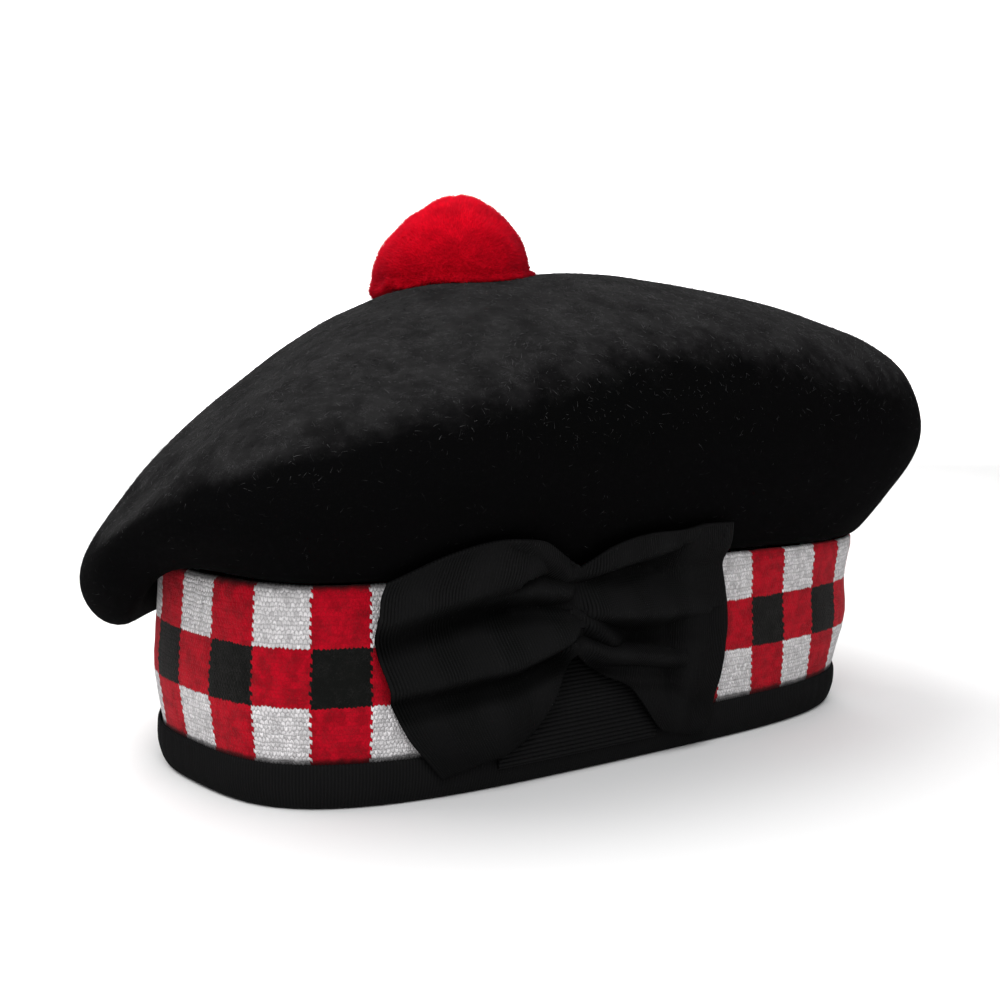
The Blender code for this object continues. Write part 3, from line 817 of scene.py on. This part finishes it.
def knit_material(sizes, colours):
    """Felted knit in red, white and black dice."""
    tree = new_material("diced knit", 0.92, 0.08, 0.04, 0.5, (1.0, 0.9, 0.9))
    place = tree.place()
    warp = tree.add("ShaderNodeTexNoise", {"Vector": place, "Scale": 420.0, "Detail": 1.0})
    warp = tree.vector("SUBTRACT", warp.outputs["Color"], (0.5,) * 3)["Vector"]
    warp = tree.vector("MULTIPLY", warp, (0.0011,) * 3)["Vector"]
    uneven = tree.vector("ADD", tree.pattern(), warp)["Vector"]
    dice = tree.use(dice_group(sizes), uneven)
    wool = tree.use(wool_group(), place, 1100.0, 330.0)
    shaded, dark_white = opaque(colours.white, 0.66), opaque(colours.white, 0.30)
    white = tree.mix(tree.math("POWER", dice["Chance"], 1.6), opaque(colours.white), shaded)
    fleck = tree.ramp(tree.noise(place, 1500.0, roughness=0.7), 0.50, 0.70)
    white = tree.mix(tree.times(fleck, 0.45), white, dark_white)
    # Painted shade in the hollows between stitches, on the white and the red
    painted_stitch_shade = tree.ramp(dice["Relief"], 0.62, 0.10)
    white = tree.mix(tree.times(painted_stitch_shade, 0.50), white, dark_white)
    dark_red = opaque(colours.red, 0.45)
    cloudy = tree.ramp(wool["Clouds"], 0.60, 0.38)
    red = tree.mix(tree.times(cloudy, 0.6), opaque(colours.red), dark_red)
    red = tree.mix(tree.times(painted_stitch_shade, 0.30), red, dark_red)
    loose = tree.times(wool["Fibres"], 0.6)
    black = tree.mix(loose, opaque(colours.black), opaque(colours.black_fibres))
    base = tree.mix(dice["Red"], white, red)
    base = tree.mix(dice["Black"], base, black)
    level = tree.part(uneven, "Y")
    # Painted shade on the band under the crown's edge and above the binding
    painted_edge_shade = tree.math("MAXIMUM", tree.ramp(level, *CROWN_SHADE), tree.ramp(level, *BINDING_SHADE))
    base = tree.mix(tree.times(painted_edge_shade, 0.85), base, opaque(colours.felt))
    bare = tree.math("SUBTRACT", 1.0, tree.math("MAXIMUM", dice["Red"], dice["Black"]))
    depth = tree.times(dice["Relief"], tree.math("MULTIPLY_ADD", bare, 0.7, 0.3))
    height = tree.math("ADD", depth, tree.times(wool["Height"], 0.6))
    return tree.finish(base, height, 0.8, 0.0005)


def yarn_group():
    """Fine yarn that crosses the ribs of a ribbon, and its uneven shade."""
    def build(tree, given):
        pattern = given["Pattern"]
        across = tree.math("DIVIDE", tree.part(pattern, "Y"), given["Yarn Pitch"])
        yarn = tree.math("ABSOLUTE", tree.math("SINE", tree.times(across, math.pi)))
        broad = tree.ramp(tree.noise(pattern, 90.0, detail=3.0), 0.3, 0.75)
        lint = tree.ramp(tree.noise(pattern, 2600.0, detail=1.0), 0.35, 0.75)
        return yarn, tree.times(broad, lint)

    return group("ribbon yarn", {"Pattern": None, "Yarn Pitch": 0.0003}, ("Yarn", "Shade"), build)


def ribbon_material(colours):
    """Ribbed ribbon, made once, darker by painted shade where its attribute says that light is kept out."""
    name = "ribbed ribbon"
    if name in bpy.data.materials:
        return bpy.data.materials[name]
    tree = new_material(name, 0.60, 0.012)
    yarn = tree.use(yarn_group(), tree.pattern(), 0.00034)
    worn, dark = opaque(colours.ribbon, 1.3), opaque(colours.ribbon, 0.10)
    base = tree.mix(yarn["Shade"], opaque(colours.ribbon), worn)
    # Painted shade between ribs and under folds, from each corner's attribute
    base = tree.mix(tree.attribute("painted_shade"), base, dark)
    return tree.finish(base, yarn["Yarn"], 0.25, 0.00006)


def toorie_material(colours, foot):
    """Clipped wool, each strand with its own shade, darker by painted shade towards the level of its foot.
    """
    tree = new_material("clipped wool", 0.85, 0.05, 0.15, 0.45, (1.0, 0.10, 0.18))
    place = tree.place()
    wool = tree.use(wool_group(), place, 1500.0, 150.0)
    dark = opaque(colours.toorie, 0.45)
    base = tree.mix(tree.attribute("shade"), dark, opaque(colours.toorie))
    base = tree.mix(tree.ramp(wool["Clouds"], 0.55, 0.38), base, tree.mix(0.5, base, dark))
    # Painted shade towards the toorie's foot
    low = tree.ramp(tree.part(place, "Z"), *(foot + level for level in TOORIE_PAINTED_SHADE))
    base = tree.mix(tree.times(low, 0.45), base, dark)
    return tree.finish(base, wool["Height"], 0.4, 0.0002)


# Pieces

def build_crown(sizes, colours):
    """Felted crown, rounded off and a little uneven, with its raised nap."""
    bm = rounded("crown", 2)
    for vert in bm.verts:
        vert.co += vert.normal * lumps(vert.co, FELT_LUMPS)
    bm.normal_update()
    crown = add_piece("felt_crown", bm, felt_material(colours), "crown")
    build_nap(crown, sizes, colours)


def build_nap(crown, sizes, colours):
    """Loose fibres that lie over the felt in soft swirls."""
    draw = np.random.default_rng(NAP_SEED)
    low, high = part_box("crown")
    middle = np.array((low + high) / 2)
    middle[2] = (low.z + high.z * 2) / 3

    def keep(centres, normals):
        outer = np.einsum("ij,ij->i", centres - middle, normals) > 0
        return outer * (NAP_ON_SIDES + np.clip(normals[:, 2], 0, 1))

    roots, normals = surface_samples(crown, sizes.nap_fibres, draw, keep)
    # Without a seed, noise_vector takes its offsets from the clock.
    noise.seed_set(NAP_SEED)
    swirl = np.array([noise.noise_vector(Vector(root) * 45) for root in roots])
    loose = swirl * 1.2 + draw.normal(size=roots.shape) * 0.75
    loose -= normals * np.einsum("ij,ij->i", loose, normals)[:, None]
    flat = unit(loose)
    rise = draw.uniform(0.15, 0.9, len(roots))[:, None]
    ways = unit(flat + normals * rise)
    bends = flat * draw.uniform(-0.2, 0.5, len(roots))[:, None] - normals * rise * 0.45
    lengths = sizes.nap_length * draw.uniform(0.3, 1.0, len(roots)) ** 1.5
    widths = sizes.nap_width / 2 * draw.uniform(0.6, 1.1, len(roots))
    # Fibres are darker on the crown's sides, where less light falls between them.
    shades = draw.uniform(0, 1, len(roots)) ** 1.6 * (0.3 + 0.7 * np.clip(normals[:, 2], 0, 1))
    mesh = strands(
        "crown_nap", strand_template(2), roots - normals * NAP_ROOT, ways, bends, lengths, widths, shades)
    add_piece("crown_nap", mesh, nap_material(colours))


def build_band(sizes, colours):
    """Knitted band, a little lumpy, with its stitches in the material."""
    bm = rounded("diced_band", 1)
    bmesh.ops.subdivide_edges(bm, edges=edges_along(bm), cuts=BAND_CUTS)
    bm.normal_update()
    for vert in bm.verts:
        vert.co += vert.normal * lumps(vert.co, KNIT_LUMPS)
    write_pattern(bm)
    bm.normal_update()
    add_piece("knitted_band", bm, knit_material(sizes, colours), "diced_band")


def build_binding(sizes, colours):
    """Ribbon folded round the band's foot, with its ribs standing upright."""
    bm = rounded("binding", 1)
    bmesh.ops.subdivide_edges(bm, edges=edges_along(bm), cuts=BINDING_CUTS)
    ribs = round(LINE.length / sizes.rib_pitch)
    hidden = bm.verts.layers.float.new("painted_shade")
    bm.normal_update()
    for vert in bm.verts:
        if vert.co.z > BINDING_FOOT:
            rib = math.cos(math.tau * LINE.share_at(vert.co) * ribs)
            vert.co += vert.normal * (sizes.rib_height * rib + lumps(vert.co, BINDING_LUMPS))
            # Painted shade between the ribs
            vert[hidden] = BINDING_PAINTED_SHADE - BINDING_PAINTED_SHADE * rib
    write_pattern(bm)
    bm.normal_update()
    add_piece("ribbon_binding", bm, ribbon_material(colours), "binding")


def fold_lift(reach, up):
    """How far the bow's folds stand up at a place, from 0 to 1."""
    lift = 0.0
    for x0, y0, x1, y1, x2, y2, height, above, below in BOW_FOLDS:
        for a, b, ax, ay, first in ((x1 - x0, y1 - y0, x0, y0, 0.0), (x2 - x1, y2 - y1, x1, y1, 0.5)):
            along = ((reach - ax) * a + (up - ay) * b) / (a * a + b * b)
            held = min(max(along, 0.0), 1.0)
            off = math.hypot(reach - ax - held * a, up - ay - held * b)
            side = (up - ay) * a - (reach - ax) * b
            width = above if side * a > 0 else below
            fade = 1 - FOLD_FADE * (first + held / 2)
            lift = max(lift, height * fade * math.exp(-((off / width) ** FOLD_ROUNDNESS)))
    return lift * (1 - (1 - GATHER_LIFT) * math.exp(-((reach / GATHER_REACH) ** 2)))


def build_bow(seat, sizes, colours):
    """Ribbon bow: one sheet from wing to wing, gathered small in its middle."""
    def cell(along, up):
        side = along * 2 - 1
        edges, end, length = BOW_BACK_EDGES, BOW_BACK_END, sizes.bow_back_reach
        if side < 0:
            edges, end, length = BOW_FRONT_EDGES, BOW_FRONT_END, sizes.bow_front_reach
        lower, upper = read_table(edges, abs(side))
        across, high = side * read_table(end, up)[0], lower + (upper - lower) * up
        share = (sizes.bow_middle + across * length) / LINE.length
        height = sizes.bow_level + high * sizes.bow_half_height
        rib, rise = wave(side * length, sizes.rib_pitch), fold_lift(across, high)
        out = seat.out(share, height) + RIBBON_GAP + sizes.fold_height * rise + sizes.rib_height * rib
        # Painted shade: darker all over and under a fold, lighter on folds and ribs
        over = max(fold_lift(across, high + step) for step in HIDDEN_BELOW)
        painted_shade = BOW_PAINTED_SHADE + BOW_PAINTED_SHADE_UNDER * max(over - rise, 0) - BOW_PAINTED_SHADE_LESS * (rise + rib)
        return LINE.place(share, out, height), (across * length, high * sizes.bow_half_height), painted_shade

    reach = sizes.bow_front_reach + sizes.bow_back_reach
    cells = round(reach / sizes.rib_pitch * CELLS_PER_RIB)
    bm = ribbon_sheet(cells, BOW_ROWS, cell)
    bow = add_piece("ribbon_bow", bm, ribbon_material(colours), "bow")
    thicken(bow, sizes)


def build_tail(seat, sizes, colours):
    """Short upright ribbon under the bow, with its ribs lying level."""
    low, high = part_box("bow_tail")
    middle = LINE.share_at((low + high) / 2)
    width, tall = TAIL_FLAT[0], high.z - low.z

    def cell(along, up):
        share = middle + (along - 0.5) * width / LINE.length
        rib = wave(up * tall, sizes.tail_pitch)
        out = seat.out(share, low.z + up * tall) + RIBBON_GAP + sizes.rib_height * TAIL_RIB_SHARE * rib
        # Painted shade that grows towards the bow above, lighter on the ribs
        painted_shade = TAIL_PAINTED_SHADE + TAIL_PAINTED_SHADE_UNDER * max(up - TAIL_PAINTED_SHADE_FROM, 0) - TAIL_PAINTED_SHADE_LESS * rib
        return LINE.place(share, out, low.z + up * tall), (up * tall, along * width), painted_shade

    bm = ribbon_sheet(TAIL_COLUMNS, round(tall / sizes.tail_pitch * CELLS_PER_RIB), cell)
    tail = add_piece("ribbon_tail", bm, ribbon_material(colours), "bow_tail")
    thicken(tail, sizes)
    return tail


def build_toorie(sizes, colours):
    """Toorie of clipped strands round a head of wool."""
    draw = np.random.default_rng(TOORIE_SEED)
    low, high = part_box("toorie")
    material = toorie_material(colours, low.z)
    bm = rounded("toorie", 1)
    bm.normal_update()
    for vert in bm.verts:
        vert.co += vert.normal * (HEAD_LET_OUT if vert.normal.z < HEAD_UNDERSIDE else -HEAD_DRAWN_IN)
    head = add_piece("toorie_head", bm, material, "toorie")
    write_shades(head.data, np.full(len(head.data.vertices), HEAD_SHADE))

    def keep(centres, normals):
        return normals[:, 2] > HEAD_BARE

    roots, normals = surface_samples(head, sizes.toorie_strands, draw, keep)
    middle = np.array((low + high) / 2)
    spread = unit(unit(normals) + unit(roots - middle) * 0.4 + draw.normal(size=roots.shape) * 0.16)
    lengths = draw.uniform(0.92, 1.06, len(roots)) * sizes.toorie_strand_length
    lengths *= 1 - 0.25 * draw.random(len(roots)) ** 6
    start = roots - spread * (sizes.toorie_strand_length - STRAND_STANDS_OUT)
    widths = sizes.toorie_strand_width / 2 * draw.uniform(0.7, 1.1, len(roots))
    bends = draw.normal(size=roots.shape) * 0.08
    shades = HEAD_SHADE + (1 - HEAD_SHADE) * draw.random(len(roots)) ** 0.7
    mesh = strands("toorie_strands", strand_template(1), start, spread, bends, lengths, widths, shades)
    add_piece("toorie_strands", mesh, material)


# Stage

def add_lamp(name, width, power, place, faces, colour):
    """Soft square lamp that faces a point."""
    light = bpy.data.lights.new(name, "AREA")
    light.size = width
    light.energy = power
    light.color = colour
    lamp = add_object(name, light)
    lamp.location = place
    lamp.rotation_euler = (Vector(faces) - Vector(place)).to_track_quat("-Z", "Y").to_euler()


def drawn_out(bm, edges, way):
    """Strip drawn out from edges along a way; returns its new rim, edges and corners."""
    made = bmesh.ops.extrude_edge_only(bm, edges=edges)["geom"]
    corners = [item for item in made if isinstance(item, bmesh.types.BMVert)]
    bmesh.ops.translate(bm, verts=corners, vec=way)
    rim = [item for item in made if isinstance(item, bmesh.types.BMEdge)]
    return [edge for edge in rim if all(vert in corners for vert in edge.verts)] + corners


def build_floor(colours):
    """Pale floor that curves up into a backdrop."""
    bm = bmesh.new()
    ends = [bm.verts.new((-FLOOR_HALF_WIDTH, y, 0)) for y in (-FLOOR_HALF_WIDTH, FLOOR_HALF_WIDTH)]
    rim = drawn_out(bm, [bm.edges.new(ends)], (FLOOR_HALF_WIDTH + BACKDROP_AWAY, 0, 0))
    swept = bmesh.ops.spin(
        bm, geom=rim, cent=(BACKDROP_AWAY, 0, BACKDROP_RADIUS), axis=(0, -1, 0),
        angle=math.radians(90), steps=BACKDROP_STEPS)
    edges = [item for item in swept["geom_last"] if isinstance(item, bmesh.types.BMEdge)]
    drawn_out(bm, edges, (0, 0, BACKDROP_HEIGHT))
    turn = Matrix.Rotation(math.radians(STAGE_TURN), 4, "Z")
    bmesh.ops.transform(bm, matrix=turn, verts=bm.verts)
    bmesh.ops.recalc_face_normals(bm, faces=bm.faces)
    mesh = mesh_of("studio_floor", bm)
    tree = new_material("studio floor", 0.9, 0.2)
    paler = (*(min(channel * 1.03, 1) for channel in colours.floor), 1)
    base = tree.mix(tree.noise(tree.place(), 3.0), opaque(colours.floor), paler)
    mesh.materials.append(tree.finish(base))
    mesh.shade_smooth()
    floor = add_object("studio_floor", mesh)


def build_camera():
    """Camera where the photo was taken from."""
    lens = bpy.data.cameras.new("photo_camera")
    lens.sensor_width = CAMERA_SENSOR
    lens.lens = CAMERA_LENS
    lens.clip_start = CAMERA_NEAR
    camera = add_object("photo_camera", lens)
    camera.location = HEAD_CENTRE + Vector(CAMERA_PLACE)
    heading, tilt, roll = (math.radians(turn) for turn in CAMERA_TURNS)
    turned = Matrix.Rotation(heading, 3, "Z") @ Matrix.Rotation(tilt, 3, "X") @ Matrix.Rotation(roll, 3, "Z")
    camera.rotation_euler = turned.to_euler()
    bpy.context.scene.camera = camera


def build_stage(colours):
    """Floor, soft lights and camera."""
    build_floor(colours)
    world = bpy.data.worlds.new("studio")
    world.use_nodes = True
    background = world.node_tree.nodes["Background"]
    background.inputs["Color"].default_value = (1, 1, 1, 1)
    background.inputs["Strength"].default_value = WORLD_STRENGTH
    scene = bpy.context.scene
    scene.world = world
    for lamp in LAMPS:
        add_lamp(*lamp)
    build_camera()
    scene.view_settings.view_transform = "Standard"


# Operators

def settings(context):
    """The scene's sizes and colours."""
    return context.scene.bonnet_sizes, context.scene.bonnet_colours


class BONNET_OT_band(bpy.types.Operator):
    """Knit the diced band and bind its lower edge with ribbon"""

    bl_idname = "bonnet.band"
    bl_label = "Band and binding"

    def execute(self, context):
        sizes, colours = settings(context)
        build_band(sizes, colours)
        build_binding(sizes, colours)
        return {"FINISHED"}


class BONNET_OT_crown(bpy.types.Operator):
    """Felt the crown and raise its nap"""

    bl_idname = "bonnet.crown"
    bl_label = "Crown"

    def execute(self, context):
        build_crown(*settings(context))
        return {"FINISHED"}


class BONNET_OT_bow(bpy.types.Operator):
    """Sew the ribbon bow and its tail on the band"""

    bl_idname = "bonnet.bow"
    bl_label = "Bow and tail"

    def execute(self, context):
        sizes, colours = settings(context)
        objects = bpy.data.objects
        band, binding, crown = objects["knitted_band"], objects["ribbon_binding"], objects["felt_crown"]
        middle = sizes.bow_middle / LINE.length
        reach = (sizes.bow_front_reach + SEAT_MARGIN) / LINE.length
        shares = (middle - reach, middle + reach)
        tail = build_tail(Seat((band, binding), shares, TAIL_SEAT_TOP), sizes, colours)
        build_bow(Seat((band, binding, crown, tail), shares, BOW_SEAT_TOP), sizes, colours)
        return {"FINISHED"}


class BONNET_OT_toorie(bpy.types.Operator):
    """Clip the wool toorie on top"""

    bl_idname = "bonnet.toorie"
    bl_label = "Toorie"

    def execute(self, context):
        build_toorie(*settings(context))
        return {"FINISHED"}


class BONNET_OT_stage(bpy.types.Operator):
    """Set the floor, the lights and the camera"""

    bl_idname = "bonnet.stage"
    bl_label = "Stage"

    def execute(self, context):
        build_stage(context.scene.bonnet_colours)
        return {"FINISHED"}


OPERATORS = (BONNET_OT_band, BONNET_OT_crown, BONNET_OT_bow, BONNET_OT_toorie, BONNET_OT_stage)


class BONNET_PT_sidebar(bpy.types.Panel):
    """Sizes, colours and steps of the bonnet"""

    bl_idname = "BONNET_PT_sidebar"
    bl_label = "Balmoral bonnet"
    bl_space_type = "VIEW_3D"
    bl_region_type = "UI"
    bl_category = "Bonnet"

    def draw(self, context):
        layout = self.layout
        for values in settings(context):
            box = layout.box()
            for name in type(values).__annotations__:
                box.prop(values, name)
        for operator in OPERATORS:
            layout.operator(operator.bl_idname)


CLASSES = (BonnetSizes, BonnetColours, *OPERATORS, BONNET_PT_sidebar)


def register():
    """Add the classes and the scene's settings."""
    for cls in CLASSES:
        bpy.utils.register_class(cls)
    bpy.types.Scene.bonnet_sizes = PointerProperty(type=BonnetSizes)
    bpy.types.Scene.bonnet_colours = PointerProperty(type=BonnetColours)


def unregister():
    """Remove the scene's settings and the classes."""
    del bpy.types.Scene.bonnet_colours
    del bpy.types.Scene.bonnet_sizes
    for cls in reversed(CLASSES):
        bpy.utils.unregister_class(cls)


def main():
    """Make the whole bonnet on its stage."""
    register()
    bpy.ops.bonnet.band()
    bpy.ops.bonnet.crown()
    bpy.ops.bonnet.bow()
    bpy.ops.bonnet.toorie()
    bpy.ops.bonnet.stage()


if __name__ == "__main__":
    main()
